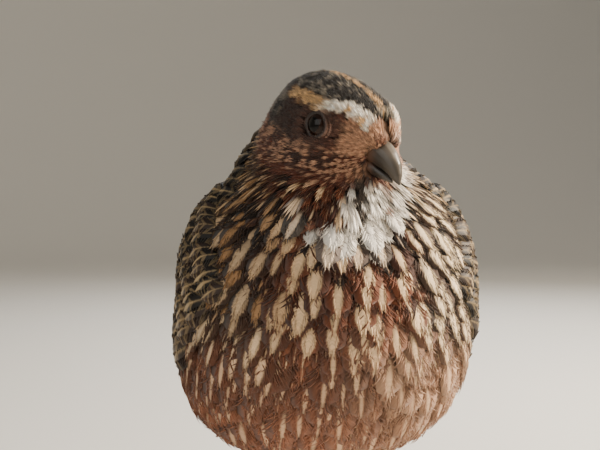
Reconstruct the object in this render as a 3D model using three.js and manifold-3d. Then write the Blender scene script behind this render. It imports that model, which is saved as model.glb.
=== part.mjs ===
// A life-size coturnix quail cock, standing at rest: feathers fluffed, neck drawn in, head turned to its
// own left and dipped. Millimetres, +Z up. The bird faces -Y and its own left side is +X.
// The solids reach out to the tips of the plumage. Wing and tail feathers are separate overlapping vanes.
import * as THREE from "three";
import { mergeVertices } from "three/addons/utils/BufferGeometryUtils.js";
import Module from "manifold-3d";

// Body sizes. The pitch lifts the breast above the rump.
const bodyLength = 98;
const bodyWidth = 71;
const bodyDepth = 77;
const bodyPitch = THREE.MathUtils.degToRad(30);
const bodyCentreHeight = 66;

// Head sizes, over the feathers, and how the head is held.
const headWidth = 25;
const headLength = 33;
const headHeight = 23.6;
const headCentre = new THREE.Vector3(0, -26, 113);
const headTurn = THREE.MathUtils.degToRad(31);
const headDip = THREE.MathUtils.degToRad(21);

const billLength = 11;
const billWidth = 7;
const billDepth = 8;
const eyeRadius = 4.2;
const lidRadius = 3.35;

const tailStart = 68;
const tailLength = 34;
const hockHeight = 25;
const footSpacing = 34;
const footY = 9;
const toeRadius = 1.35;
const solePad = 2.5;
const clawLength = 4.2;

// Touching pieces keep this gap.
const gap = 0.3;
// The least and the usual thickness of a feather's vane.
const vaneEdge = 0.5;
const vaneShaft = 0.75;

const wasm = await Module();
wasm.setup();

const { lerp, clamp, degToRad, smoothstep } = THREE.MathUtils;
const vec = (x, y, z) => new THREE.Vector3(x, y, z);
const xAxis = vec(1, 0, 0);
const zAxis = vec(0, 0, 1);
const tilt = (angle) => new THREE.Quaternion().setFromAxisAngle(xAxis, angle);

// A closed geometry as a solid that can be joined and cut.
function solidOf(geometry) {
  const bare = geometry.clone();
  bare.deleteAttribute("normal");
  bare.deleteAttribute("uv");
  const merged = mergeVertices(bare, 1e-4);
  return new wasm.Manifold(
    new wasm.Mesh({
      numProp: 3,
      vertProperties: new Float32Array(merged.attributes.position.array),
      triVerts: new Uint32Array(merged.index.array),
    }),
  );
}

// The largest closed surface of a solid, without sealed hollows or loose scraps.
function largestPiece(solid) {
  const pieces = solid.decompose();
  return pieces.reduce((best, piece) => (piece.volume() > best.volume() ? piece : best));
}

function joinAll(solids) {
  return solids.reduce((whole, solid) => whole.add(solid));
}

function geometryOf(solid) {
  const mesh = solid.getMesh();
  return new THREE.BufferGeometry()
    .setAttribute("position", new THREE.BufferAttribute(new Float32Array(mesh.vertProperties), 3))
    .setIndex(new THREE.BufferAttribute(new Uint32Array(mesh.triVerts), 1));
}

// Everything on the far side of a plane, as a block to cut with.
function beyond(point, normal) {
  const size = 400;
  const block = new THREE.BoxGeometry(size, size, size);
  block.translate(0, 0, size / 2);
  block.applyQuaternion(new THREE.Quaternion().setFromUnitVectors(zAxis, normal.clone().normalize()));
  block.translate(point.x, point.y, point.z);
  return solidOf(block);
}

// The flesh and its plumage are one rounded field of egg-shaped lumps. It is negative inside, and near the
// surface it reads as a distance in millimetres.
const bodyCentre = vec(0, 0, bodyCentreHeight);
const bodyBack = vec(0, 1, 0).applyQuaternion(tilt(-bodyPitch));
const bodyUp = vec(0, 0, 1).applyQuaternion(tilt(-bodyPitch));
const headPose = new THREE.Matrix4().compose(
  headCentre,
  new THREE.Quaternion().setFromAxisAngle(zAxis, headTurn).multiply(tilt(headDip)),
  vec(1, 1, 1),
);
const headTilt = new THREE.Quaternion().setFromRotationMatrix(headPose);
const headSpin = headTilt.clone().invert();
const onHead = (x, y, z) => vec(x, y, z).applyMatrix4(headPose);

// A lump: where it is, its half-sizes, its turn back to its own axes, and how softly it blends in.
const lump = (centre, radii, turnBack, blend) => ({ centre, radii, turnBack, blend });
const trunkLump = (x, back, up, radii, blend, pitch = bodyPitch) =>
  lump(
    bodyCentre.clone().addScaledVector(bodyBack, back).addScaledVector(bodyUp, up).add(vec(x, 0, 0)),
    radii,
    tilt(pitch),
    blend,
  );
const headLump = (x, y, z, radii, blend) => lump(onHead(x, y, z), radii, headSpin, blend);
const upright = new THREE.Quaternion();

const trunk = [
  trunkLump(0, 0, 0, vec(bodyWidth / 2, bodyLength / 2, bodyDepth / 2), 1),
  // Breast, the fluffed flanks, the low belly and the shoulders.
  lump(vec(0, -19, 63), vec(32, 26, 32), upright, 10),
  trunkLump(-17, 6, -13, vec(19, 27, 20), 9),
  trunkLump(17, 6, -13, vec(19, 27, 20), 9),
  trunkLump(-16.5, -19, 7, vec(15.5, 20, 16), 9),
  trunkLump(16.5, -19, 7, vec(15.5, 20, 16), 9),
  // Rump, narrowing to the root of the tail.
  trunkLump(0, 30, -2, vec(26, 33, 23.5), 12, degToRad(26)),
  trunkLump(0, 58, -1, vec(12.5, 22, 8.5), 12, degToRad(24)),
];
const neck = [
  lump(vec(-1.5, -22, 97), vec(19, 17.5, 18), upright, 9),
  lump(vec(-3, -14, 106), vec(16.5, 12.5, 14.5), upright, 7),
];
const head = [
  headLump(0, 2.4, 0.8, vec(headWidth / 2, headLength / 2, headHeight / 2), 7),
  headLump(0, 3, 4.6, vec(9.4, 13.5, 7.8), 3),
  headLump(-5, -1, -4.5, vec(8.2, 10.5, 7.6), 4),
  headLump(5, -1, -4.5, vec(8.2, 10.5, 7.6), 4),
  // Forehead, and the lores that run down to the root of the bill.
  headLump(0, -8, 4, vec(8.4, 8.9, 7.2), 4),
  headLump(0, -9.5, 0, vec(5, 7.6, 5.4), 3),
  headLump(0, -6, -6.8, vec(5.4, 9, 4.4), 3),
  // Brow ridges over the eyes.
  headLump(-7.2, -4.5, 6.9, vec(3.4, 6.5, 2.2), 2.5),
  headLump(7.2, -4.5, 6.9, vec(3.4, 6.5, 2.2), 2.5),
];
const flesh = [...trunk, ...neck, ...head];

function lumpDistance(part, point) {
  const q = point.clone().sub(part.centre).applyQuaternion(part.turnBack).divide(part.radii);
  const reach = q.length();
  const slope = q.divide(part.radii).length();
  return slope < 1e-9 ? -part.radii.x : (reach * (reach - 1)) / slope;
}

function fieldOf(lumps, point) {
  let field = lumpDistance(lumps[0], point);
  for (const part of lumps.slice(1)) {
    const other = lumpDistance(part, point);
    const mix = Math.max(part.blend - Math.abs(field - other), 0) / part.blend;
    field = Math.min(field, other) - (mix * mix * part.blend) / 4;
  }
  return field;
}

// How far from a point inside, along a direction, the field first rises to a level.
function reachAlong(lumps, from, direction, level) {
  const at = (distance) => fieldOf(lumps, from.clone().addScaledVector(direction, distance)) - level;
  const stride = 1.5;
  const farthest = 120;
  let far = stride;
  while (far < farthest && at(far) < 0) far += stride;
  let near = far - stride;
  for (let halving = 0; halving < 16; halving++) {
    const middle = (near + far) / 2;
    if (at(middle) < 0) near = middle;
    else far = middle;
  }
  return near;
}

// A ball drawn out from a point until it lies on the field's surface.
function shellFrom(centre, detail, level = 0) {
  const ball = new THREE.IcosahedronGeometry(1, detail);
  const spots = ball.attributes.position;
  const spot = vec(0, 0, 0);
  for (let i = 0; i < spots.count; i++) {
    spot.fromBufferAttribute(spots, i).normalize();
    const reach = reachAlong(flesh, centre, spot, level);
    spot.multiplyScalar(reach).add(centre);
    spots.setXYZ(i, spot.x, spot.y, spot.z);
  }
  return solidOf(ball);
}

// A point on the trunk: so far back along its axis, so far round from the spine, so far above the surface.
const axisLow = -4;
function onTrunk(back, round, level) {
  const start = bodyCentre.clone().addScaledVector(bodyBack, back).addScaledVector(bodyUp, axisLow);
  const out = bodyUp.clone().multiplyScalar(Math.cos(round)).addScaledVector(xAxis, Math.sin(round));
  return start.addScaledVector(out, reachAlong(flesh, start, out, level));
}

// A thin closed slab. The place function takes a spot along (0 to 1), across (-1 to 1) and through (0 or 1),
// and both faces are split into triangles alike.
function slab(steps, strips, place) {
  const sheet = new THREE.PlaneGeometry(2, 1, strips, steps);
  const spots = sheet.attributes.position;
  const count = spots.count;
  const points = [];
  for (const through of [0, 1]) {
    for (let i = 0; i < count; i++) {
      const point = place(0.5 - spots.getY(i), spots.getX(i), through);
      points.push(point.x, point.y, point.z);
    }
  }
  const faces = [];
  const side = sheet.index.array;
  for (let i = 0; i < side.length; i += 3) {
    faces.push(side[i] + count, side[i + 1] + count, side[i + 2] + count);
    faces.push(side[i], side[i + 2], side[i + 1]);
  }
  const rim = [];
  const row = strips + 1;
  for (let i = 0; i < strips; i++) rim.push(i);
  for (let j = 0; j < steps; j++) rim.push(j * row + strips);
  for (let i = strips; i > 0; i--) rim.push(steps * row + i);
  for (let j = steps; j > 0; j--) rim.push(j * row);
  rim.forEach((a, k) => {
    const b = rim[(k + 1) % rim.length];
    faces.push(a, b + count, b, a, a + count, b + count);
  });
  const geometry = new THREE.BufferGeometry();
  geometry.setAttribute("position", new THREE.Float32BufferAttribute(points, 3));
  geometry.setIndex(faces);
  const made = solidOf(geometry);
  return made.volume() < 0 ? solidOf(flipped(geometry)) : made;
}

function flipped(geometry) {
  const index = geometry.index.array;
  for (let i = 0; i < index.length; i += 3) [index[i + 1], index[i + 2]] = [index[i + 2], index[i + 1]];
  return geometry;
}

// Half the width of a vane at a spot along it: narrow at the quill, broad in the middle, rounded at the tip.
function vaneHalfWidth(along, width) {
  const quill = 0.45 + 0.55 * smoothstep(along, 0, 0.35);
  const tip = Math.sqrt(clamp(1 - Math.pow(clamp((along - 0.55) / 0.47, 0, 1), 2.4), 0, 1));
  return (width / 2) * quill * tip;
}

// A tapered limb along a smooth curve, with an oval section.
function limb(points, radiusAt, sides, steps, flatness = 1, up = zAxis) {
  const curve = new THREE.CatmullRomCurve3(points);
  const rod = new THREE.CylinderGeometry(1, 1, 1, sides, steps);
  const spots = rod.attributes.position;
  const spot = vec(0, 0, 0);
  for (let i = 0; i < spots.count; i++) {
    spot.fromBufferAttribute(spots, i);
    const along = clamp(0.5 - spot.y, 0, 1);
    const ahead = curve.getTangentAt(along);
    const across = ahead.clone().cross(up).normalize();
    const rise = across.clone().cross(ahead).normalize();
    const radius = radiusAt(along);
    const place = curve
      .getPointAt(along)
      .addScaledVector(across, spot.x * radius)
      .addScaledVector(rise, spot.z * radius * flatness);
    spots.setXYZ(i, place.x, place.y, place.z);
  }
  const made = solidOf(rod);
  return made.volume() < 0 ? solidOf(turnedInsideOut(rod)) : made;
}

function turnedInsideOut(geometry) {
  const bare = new THREE.BufferGeometry().copy(geometry);
  bare.deleteAttribute("normal");
  bare.deleteAttribute("uv");
  return flipped(mergeVertices(bare));
}

const materials = {};
function paint(name, color, roughness) {
  materials[name] = new THREE.MeshStandardMaterial({ color, roughness, metalness: 0 });
}
paint("plumage", "#7d5b43", 0.85);
paint("breast", "#9a6647", 0.85);
paint("wing", "#5d4a3b", 0.8);
paint("bill", "#5b5550", 0.45);
paint("eye", "#1a0f09", 0.1);
paint("leg", "#c69a7e", 0.55);
paint("claw", "#6a564a", 0.45);

const bird = new THREE.Group();
function addNode(name, solid, material) {
  const mesh = new THREE.Mesh(geometryOf(largestPiece(solid)), materials[material]);
  mesh.name = name;
  bird.add(mesh);
}

// The plane that parts the tail from the body.
const tailRoot = { point: bodyCentre.clone().addScaledVector(bodyBack, tailStart), normal: bodyBack };
const shifted = (plane, rise) => plane.point.clone().addScaledVector(plane.normal, rise);

function ballAt(centre, radius, round = 16, high = 10) {
  const ball = new THREE.SphereGeometry(radius, round, high);
  ball.translate(centre.x, centre.y, centre.z);
  return solidOf(ball);
}

// The room that the head takes, and that the neck takes: a large ball with its underside cut flat.
const headRoomRadius = 19;
const headRoomFloor = -8.5;
const neckRoomRadius = 24.5;
const neckRoomFloor = 91;
const neckRoomCentre = vec(0, -20, 105);

function headRoom(grow) {
  const ball = ballAt(onHead(0, 0.5, 0), headRoomRadius + grow, 20, 14);
  const floorNormal = vec(0, 0.25, -1).applyQuaternion(headTilt);
  return ball.subtract(beyond(onHead(0, 0, headRoomFloor - grow), floorNormal));
}

function neckRoom(grow) {
  const ball = ballAt(neckRoomCentre, neckRoomRadius + grow, 22, 16);
  return ball.subtract(beyond(neckRoomCentre.clone().setZ(neckRoomFloor - grow), vec(0, 0.35, -1)));
}

const torsoMiddle = bodyCentre.clone().add(vec(0, 4, -2));

function torso() {
  const whole = shellFrom(torsoMiddle, 8).subtract(neckRoom(gap)).subtract(headRoom(gap));
  return whole.subtract(beyond(shifted(tailRoot, 0), bodyBack));
}

function neckPiece() {
  return shellFrom(vec(0, -20, 102), 7).intersect(neckRoom(0)).subtract(headRoom(gap));
}

// The bill, in the head's own frame. It leaves the face at its root and droops to the tip.
const faceY = -14;
const billTip = vec(0, faceY - billLength, -4.6);
const gapeHeight = -1.9;
const gapeSlope = (gapeHeight - billTip.z - 0.2) / billLength;
const gape = (rise) => vec(0, faceY, gapeHeight + rise);

function onHeadSolid(solid) {
  const geometry = geometryOf(solid);
  geometry.applyMatrix4(headPose);
  return solidOf(geometry);
}

// How a horn narrows from its root to its point.
const hornTaper = (along, left, power) => Math.pow(1 - (1 - left) * Math.pow(along, 1.9), power);

// The horn of each half, grown a little where the face is cut to hold it.
function upperHorn(grow) {
  const ridge = [vec(0, faceY + 5, 0.8), vec(0, faceY - 4, 0.3), vec(0, faceY - billLength * 0.72, -1.4), billTip];
  const girth = (along) => (billWidth / 2) * hornTaper(along, 0.02, 0.75) + grow;
  const horn = limb(ridge, girth, 14, 8, billDepth / billWidth);
  return horn.subtract(beyond(gape(-grow), vec(0, gapeSlope, -1)));
}

function lowerHorn(grow) {
  const keelEnd = vec(0, faceY - billLength * 0.77, -4.8);
  const keel = [vec(0, faceY + 5, -2.9), vec(0, faceY - 4, -3.9), keelEnd];
  const girth = (along) => (billWidth / 2) * 0.82 * hornTaper(along, 0.03, 0.7) + grow;
  return limb(keel, girth, 12, 6, 0.72).subtract(beyond(gape(grow - gap), vec(0, -gapeSlope, 1)));
}

// A nostril slit on each side of the upper half.
function upperBill() {
  const slits = [-1, 1].map((side) =>
    limb(
      [vec(side * 3.4, faceY - 2, 0.9), vec(side * 3.3, faceY - 3.6, 0.4), vec(side * 2.9, faceY - 5.4, -0.3)],
      () => 0.5,
      6,
      2,
    ),
  );
  return slits.reduce((whole, slit) => whole.subtract(slit), upperHorn(0));
}

// Both roots end inside the face, behind this plane.
const socketEnd = (clear) => beyond(vec(0, faceY + 3.5 + clear, 0), vec(0, 1, 0));
const billSocket = () => upperHorn(gap).add(lowerHorn(gap)).subtract(socketEnd(gap));

// Eyes face a little forward. Each eye is a ball in a socket, and a ring of lid lies round its opening.
const eyeAxis = (side) => vec(side * 0.95, -0.28, 0.1).normalize();
const eyeCentre = (side) => vec(side * 8.5, -4.6, 2.8);

function lidRing(side) {
  const ring = new THREE.TorusGeometry(lidRadius, 0.62, 6, 18);
  ring.scale(1, 0.93, 1);
  ring.applyQuaternion(new THREE.Quaternion().setFromUnitVectors(zAxis, eyeAxis(side)));
  const centre = eyeCentre(side).addScaledVector(eyeAxis(side), 3.25);
  ring.translate(centre.x, centre.y, centre.z);
  return solidOf(ring);
}

// The line of the mouth: a thin groove that runs back from the corner of the bill under the eye.
function mouthLine(side) {
  const groove = slab(4, 1, (along, across, through) => {
    const y = lerp(faceY - 3.5, faceY + 8.5, along);
    const depth = lerp(1.2, 13, (across + 1) / 2);
    const z = gapeHeight + 0.1 * (y - faceY) - 1.4 * along * along + (through - 0.5) * 0.5;
    return vec(side * depth, y, z);
  });
  return groove;
}

function headPiece() {
  let whole = shellFrom(onHead(0, 0, 0), 7).intersect(headRoom(0));
  whole = whole.subtract(onHeadSolid(billSocket()));
  for (const side of [-1, 1]) {
    whole = whole.add(onHeadSolid(lidRing(side)));
    whole = whole.subtract(onHeadSolid(ballAt(eyeCentre(side), eyeRadius + gap)));
    whole = whole.subtract(onHeadSolid(mouthLine(side)));
  }
  return whole;
}

// Wings. Rows of feathers lie on a low pad, from the lowest row up. Each row gives its feathers' roots from
// the first to the last, as how far back they are along the body's axis and how many degrees round from the
// spine, and where round from the spine their tips end. A louvre lifts the lower edge over the next feather.
const wingRows = [
  // Primaries: only their tips show, behind the others.
  {
    count: 4,
    steps: 4,
    from: [6, 98],
    to: [10, 84],
    end: [60, 48],
    length: [54, 64],
    width: 9,
    lift: [0.5, 0.7],
    louvre: 1,
  },
  // Secondaries.
  {
    count: 5,
    steps: 3,
    from: [0, 104],
    to: [2, 72],
    end: [86, 48],
    length: [40, 52],
    width: 14.5,
    lift: [0.7, 1.5],
    louvre: 1.2,
  },
  // Tertials, over the back.
  {
    count: 3,
    steps: 3,
    from: [-6, 66],
    to: [-8, 50],
    end: [50, 32],
    length: [46, 38],
    width: 15,
    lift: [0.8, 2.9],
    louvre: 1.3,
  },
  // Greater coverts.
  {
    count: 5,
    steps: 3,
    from: [-12, 105],
    to: [-13, 56],
    end: [100, 48],
    length: [19, 23],
    width: 15,
    lift: [0.8, 3.1],
    louvre: 1.3,
  },
  // Median coverts.
  {
    count: 4,
    steps: 3,
    from: [-22, 100],
    to: [-23, 62],
    end: [97, 56],
    length: [15, 17],
    width: 15,
    lift: [0.4, 3],
    louvre: 1.2,
  },
];

function wingVane(side, row, index) {
  const share = row.count > 1 ? index / (row.count - 1) : 0;
  const rootBack = lerp(row.from[0], row.to[0], share);
  const rootRound = degToRad(lerp(row.from[1], row.to[1], share));
  const endRound = degToRad(lerp(row.end[0], row.end[1], share));
  const length = lerp(row.length[0], row.length[1], share);
  return slab(row.steps, 2, (along, across, through) => {
    const back = rootBack + length * along;
    const round = lerp(rootRound, endRound, smoothstep(along, 0, 1) * 0.5 + along * 0.5);
    const middle = onTrunk(back, round, 0);
    const radius = middle.distanceTo(
      bodyCentre.clone().addScaledVector(bodyBack, back).addScaledVector(bodyUp, axisLow),
    );
    const half = Math.max(vaneHalfWidth(along, row.width), 0.35);
    const thick = along > 0.99 ? 0.3 : lerp(vaneShaft, vaneEdge, Math.abs(across));
    const slope = row.louvre * (0.5 + 0.5 * across) * smoothstep(along, 0, 0.3);
    const raise = gap + lerp(row.lift[0], row.lift[1], along) + slope;
    return onTrunk(back, side * (round + (across * half) / radius), raise + through * thick);
  });
}

// The pad under the vanes' roots: thin at its rim, and thickest behind the bend of the wing.
function wingPad(side) {
  return slab(8, 6, (along, across, through) => {
    const back = lerp(-32, 18, along);
    const reach = Math.sqrt(Math.max(1 - Math.pow(2 * along - 1, 4), 0.1));
    const round = degToRad(80 + across * 31 * reach - 4 * along);
    const swell = (1 - across * across) * smoothstep(along, -0.1, 0.45) * (1 - 0.45 * along);
    return onTrunk(back, side * round, gap + 0.4 + through * (0.5 + 3 * swell));
  });
}

function wing(side, clearance) {
  const vanes = wingRows.flatMap((row) =>
    Array.from({ length: row.count }, (_, index) => wingVane(side, row, index)),
  );
  return joinAll([wingPad(side), ...vanes]).subtract(clearance);
}

// Tail: a tapering root that carries a closed fan of soft feathers, with a shorter tier of coverts over them.
const tailPoint = (back, up, x) =>
  bodyCentre.clone().addScaledVector(bodyBack, back).addScaledVector(bodyUp, up).add(vec(x, 0, 0));

function tailVane(share, length, width, lift, rootBack, spread) {
  const side = Math.sign(share) || 1;
  return slab(3, 2, (along, across, through) => {
    const half = Math.max(vaneHalfWidth(along, width), 0.35);
    const lean = share * spread;
    const back = rootBack + length * along * Math.cos(lean);
    const x = share * 6.5 + length * along * Math.sin(lean) + across * half;
    const arch = -Math.pow(Math.abs(x) / 9, 2) * 1.5 - 2.2 * along * along;
    const thick = along > 0.99 ? 0.3 : lerp(vaneShaft, vaneEdge, Math.abs(across));
    const louvre = -across * side * 0.5;
    const rise = lift - Math.abs(share) * 3.4 + louvre * (1 - 0.4 * Math.abs(share));
    return tailPoint(back, rise + arch + through * thick, x);
  });
}

function tail() {
  const base = limb(
    [tailPoint(60, -5, 0), tailPoint(70, -5.2, 0), tailPoint(80, -5.6, 0), tailPoint(88, -6, 0)],
    (along) => lerp(11.5, 4.5, along),
    12,
    5,
    0.62,
    bodyUp,
  );
  const feathers = [];
  const pairs = 5;
  for (let pair = 0; pair < pairs; pair++) {
    for (const side of [-1, 1]) {
      const share = (side * (pair + 0.5)) / pairs;
      feathers.push(tailVane(share, tailLength - 6 * Math.abs(share), 9, -3.2, 68, degToRad(17)));
    }
  }
  for (let pair = 0; pair < 2; pair++) {
    for (const side of [-1, 1]) {
      const share = (side * (pair + 0.5)) / 2;
      feathers.push(tailVane(share, 20 - 3 * Math.abs(share), 10, -0.6, 66, degToRad(14)));
    }
  }
  const whole = joinAll([base, ...feathers]);
  return whole.subtract(beyond(shifted(tailRoot, gap), bodyBack.clone().negate()));
}

// Legs. The shank leans back up to the hock, and the feathered thigh runs forward from there into the belly.
const footSpot = (side) => vec((side * footSpacing) / 2, footY, toeRadius * 1.1);
const hockSpot = (side) => vec(side * (footSpacing / 2 - 1.5), footY + 12, hockHeight);

function thigh(side, clearance) {
  const hock = hockSpot(side);
  const path = [
    hock.clone().add(vec(0, 0.6, 0.6)),
    vec(side * 16, footY + 5, 34),
    vec(side * 17, footY - 2, 48),
  ];
  const whole = limb(path, (along) => lerp(2.9, 10.5, Math.pow(along, 0.75)), 14, 6, 1, xAxis);
  return largestPiece(whole.subtract(clearance));
}

const toes = [
  { name: "inner", heading: -28, length: 16 },
  { name: "middle", heading: 2, length: 21 },
  { name: "outer", heading: 34, length: 17 },
  { name: "hind", heading: 172, length: 8 },
];

function toePath(side, toe) {
  const heading = degToRad(toe.heading * side);
  const ahead = vec(Math.sin(heading), -Math.cos(heading), 0);
  const root = footSpot(side);
  const low = toeRadius * 0.78;
  return [
    root.clone().add(vec(0, 0, 0.5)),
    root.clone().addScaledVector(ahead, toe.length * 0.35).setZ(low + 0.55),
    root.clone().addScaledVector(ahead, toe.length * 0.7).setZ(low + 0.15),
    root.clone().addScaledVector(ahead, toe.length).setZ(low),
  ];
}

// Toes swell at each joint's pad.
const toeGirth = (along) => toeRadius * (1.08 - 0.3 * along + 0.1 * Math.cos(along * Math.PI * 4));

function leg(side) {
  const foot = footSpot(side);
  const hock = hockSpot(side);
  const shank = limb(
    [foot.clone().add(vec(0, -0.5, 0)), foot.clone().lerp(hock, 0.5), hock],
    (along) => lerp(1.9, 1.55, clamp(along * 3, 0, 1)) + 0.75 * smoothstep(along, 0.8, 1),
    8,
    5,
    1.1,
    vec(0, 1, 0),
  );
  const footPieces = toes.map((toe) => limb(toePath(side, toe), toeGirth, 8, 5));
  // The ball of the foot, whose flat underside carries the bird.
  footPieces.push(ballAt(foot.clone().setZ(solePad * 0.6), solePad, 10, 6));
  const floor = beyond(vec(0, 0, 0), vec(0, 0, -1));
  const hockCut = beyond(hock.clone().add(vec(0, 0, -gap / 2)), hock.clone().sub(foot).normalize());
  return joinAll([shank, ...footPieces]).subtract(floor).subtract(hockCut);
}

function claw(side, toe) {
  const heading = degToRad(toe.heading * side);
  const ahead = vec(Math.sin(heading), -Math.cos(heading), 0);
  const tip = footSpot(side).addScaledVector(ahead, toe.length + gap);
  const length = toe.name === "hind" ? clawLength * 0.75 : clawLength;
  const path = [
    tip.clone().setZ(1.15),
    tip.clone().addScaledVector(ahead, length * 0.5).setZ(1.2),
    tip.clone().addScaledVector(ahead, length).setZ(0.45),
  ];
  return limb(path, (along) => lerp(0.92, 0.22, along), 6, 3).subtract(beyond(vec(0, 0, 0), vec(0, 0, -1)));
}

addNode("torso", torso(), "breast");
addNode("neck", neckPiece(), "plumage");
addNode("head", headPiece(), "plumage");
addNode("bill_upper", onHeadSolid(upperBill().subtract(socketEnd(0))), "bill");
addNode("bill_lower", onHeadSolid(lowerHorn(0).subtract(socketEnd(0))), "bill");
const torsoClearance = shellFrom(torsoMiddle, 8, gap);
for (const [sideName, side] of [
  ["right", -1],
  ["left", 1],
]) {
  addNode("eye_" + sideName, onHeadSolid(ballAt(eyeCentre(side), eyeRadius)), "eye");
  addNode("wing_" + sideName, wing(side, torsoClearance), "wing");
  const thighSolid = thigh(side, torsoClearance);
  const foot = footSpot(side);
  const hock = hockSpot(side);
  const hockCut = beyond(hock.clone().add(vec(0, 0, gap / 2)), foot.clone().sub(hock).normalize());
  addNode("thigh_" + sideName, thighSolid.subtract(hockCut), "breast");
  addNode("leg_" + sideName, leg(side), "leg");
  for (const toe of toes) addNode("claw_" + sideName + "_" + toe.name, claw(side, toe), "claw");
}
addNode("tail", tail(), "wing");

// The frame's origin is on the floor, under the middle of the whole bird.
const box = new THREE.Box3().setFromObject(bird);
bird.position.set(-(box.min.x + box.max.x) / 2, -(box.min.y + box.max.y) / 2, -box.min.z);

export default bird;
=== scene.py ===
import math
from itertools import product
import bpy
import bmesh
import numpy as np
from mathutils import Matrix, Vector
from mathutils.bvhtree import BVHTree


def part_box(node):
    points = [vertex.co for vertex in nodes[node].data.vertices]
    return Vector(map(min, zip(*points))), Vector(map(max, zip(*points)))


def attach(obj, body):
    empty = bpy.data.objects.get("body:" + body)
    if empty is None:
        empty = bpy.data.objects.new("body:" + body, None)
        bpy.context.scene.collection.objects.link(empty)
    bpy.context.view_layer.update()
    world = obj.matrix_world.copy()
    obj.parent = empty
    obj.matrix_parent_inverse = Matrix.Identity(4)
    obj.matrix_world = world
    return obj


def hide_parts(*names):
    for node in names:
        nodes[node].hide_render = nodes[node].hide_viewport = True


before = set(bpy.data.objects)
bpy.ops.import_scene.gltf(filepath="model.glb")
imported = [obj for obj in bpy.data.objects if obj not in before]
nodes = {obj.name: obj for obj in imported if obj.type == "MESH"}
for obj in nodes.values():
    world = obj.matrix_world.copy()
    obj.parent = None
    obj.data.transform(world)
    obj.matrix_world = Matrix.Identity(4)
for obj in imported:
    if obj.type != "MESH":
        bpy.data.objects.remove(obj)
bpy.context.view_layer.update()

mm = 0.001  # sizes below are in millimetres, Blender's are in metres
random = np.random.default_rng(41)
scene = bpy.context.scene

# the photo's view of the bird, aimed at its throat
photoView = {"azimuth": -8, "elevation": 3, "distance": 255, "lens": 62, "aim": (-9, -43, 90)}

# how the bird holds itself, in degrees, and where its trunk and eyes are
stance = {
    "pitch": 30,
    "headTurn": 31,
    "headDip": 21,
    "trunkMiddle": (0, -18.7, 66),
    "eyeInHead": (8.5, -4.6, 2.8),
    "axisDrop": -4,
}


def makeCamera(view):
    azimuth = math.radians(view["azimuth"])
    elevation = math.radians(view["elevation"])
    level = math.cos(elevation)
    away = Vector((math.sin(azimuth) * level, -math.cos(azimuth) * level, math.sin(elevation)))
    camera = bpy.data.objects.new("camera", bpy.data.cameras.new("camera"))
    scene.collection.objects.link(camera)
    camera.location = (Vector(view["aim"]) + away * view["distance"]) * mm
    camera.rotation_euler = (-away).to_track_quat("-Z", "Y").to_euler()
    camera.data.lens = view["lens"]
    camera.data.sensor_width = 36
    camera.data.clip_start = 0.01
    camera.data.clip_end = 20
    scene.camera = camera


makeCamera(photoView)


# small helpers: colours, nodes, vectors

def toLinear(hexColour):
    value = hexColour.lstrip("#")
    channels = [int(value[i:i + 2], 16) / 255 for i in (0, 2, 4)]
    return tuple(c / 12.92 if c <= 0.04045 else ((c + 0.055) / 1.055) ** 2.4 for c in channels)


def colourOf(hexColour):
    return np.array(toLinear(hexColour))


def addNode(tree, kind, settings=None, links=None):
    node = tree.nodes.new(kind)
    for name, value in (settings or {}).items():
        if isinstance(name, str) and hasattr(node, name):
            setattr(node, name, value)
        else:
            node.inputs[name].default_value = value
    for name, source in (links or {}).items():
        tree.links.new(source, node.inputs[name])
    return node


# one step of arithmetic in a material. Each term is a number or another node's output
def maths(tree, operation, *terms):
    settings = {"operation": operation}
    links = {}
    for index, term in enumerate(terms):
        target = settings if isinstance(term, float) else links
        target[index] = term
    return addNode(tree, "ShaderNodeMath", settings, links).outputs[0]


def remap(tree, source, low, high, toLow=0.0, toHigh=1.0, interpolation="LINEAR"):
    settings = {"From Min": low, "From Max": high, "To Min": toLow, "To Max": toHigh}
    settings["interpolation_type"] = interpolation
    return addNode(tree, "ShaderNodeMapRange", settings, {"Value": source}).outputs[0]


def noiseOf(tree, where, scale, detail, roughness=0.5):
    settings = {"Scale": scale, "Detail": detail, "Roughness": roughness}
    return addNode(tree, "ShaderNodeTexNoise", settings, {"Vector": where}).outputs["Fac"]


def paintedColour(tree, name):
    return addNode(tree, "ShaderNodeAttribute", {"attribute_name": name}).outputs["Color"]


def objectSpot(tree):
    return addNode(tree, "ShaderNodeTexCoord").outputs["Object"]


# the surface's colour, made lighter and darker by a share, and its fine relief
def dress(tree, shader, colour, share, height, strength, distance, invert=False):
    shaded = addNode(tree, "ShaderNodeVectorMath", {"operation": "SCALE"}, {0: colour, "Scale": share})
    tree.links.new(shaded.outputs[0], shader.inputs["Base Color"])
    relief = {"Strength": strength, "Distance": distance, "invert": invert}
    bump = addNode(tree, "ShaderNodeBump", relief, {"Height": height})
    tree.links.new(bump.outputs[0], shader.inputs["Normal"])


def smoothstep(value, low, high):
    share = np.clip((value - low) / (high - low), 0, 1)
    return share * share * (3 - 2 * share)


def lerp(a, b, share):
    return a + (b - a) * share


def unit(vectors):
    return vectors / np.maximum(np.linalg.norm(vectors, axis=-1, keepdims=True), 1e-9)


def onPlane(vectors, normals):
    return unit(vectors - normals * np.sum(vectors * normals, axis=-1, keepdims=True))


# the bird's own directions
pitch = math.radians(stance["pitch"])
trunkMiddle = np.array(stance["trunkMiddle"], float)
trunkBack = np.array((0, math.cos(pitch), -math.sin(pitch)))
trunkUp = np.array((0, math.sin(pitch), math.cos(pitch)))
sideways = np.array((1.0, 0, 0))
headTurn = Matrix.Rotation(math.radians(stance["headTurn"]), 3, "Z")
headTurn = np.array(headTurn @ Matrix.Rotation(math.radians(stance["headDip"]), 3, "X"))


def middleOf(node):
    low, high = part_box(node)
    return np.array((low + high) / 2) / mm


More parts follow.
